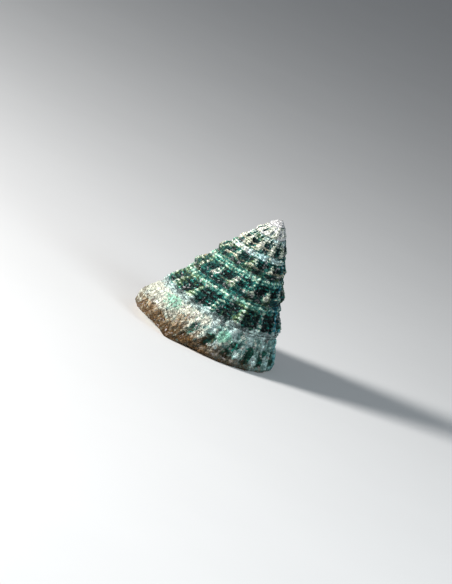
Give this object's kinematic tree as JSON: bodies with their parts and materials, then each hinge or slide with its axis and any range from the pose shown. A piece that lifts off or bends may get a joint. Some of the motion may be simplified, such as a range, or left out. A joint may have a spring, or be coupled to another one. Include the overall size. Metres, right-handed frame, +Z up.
{
  "type": "tectus fenestratus shell",
  "caption": "Right-handed cone-shaped top shell with knobbed whorls, crusted outside, flat corded base and an oblique hollow mouth.",
  "frame": {"origin": "middle of the shell's box, at the level that the shell rests on", "axes": "+Z up from the resting surface, -Y towards the side that the picture shows, +X the side that the apex leans to"},
  "size_m": [0.0342, 0.0324, 0.0323],
  "materials": {
    "crusted_shell": "rough lime shell with algal crust, pearly inside the mouth"
  },
  "bodies": {
    "root": {"shell": "crusted_shell"}
  },
  "joints": []
}
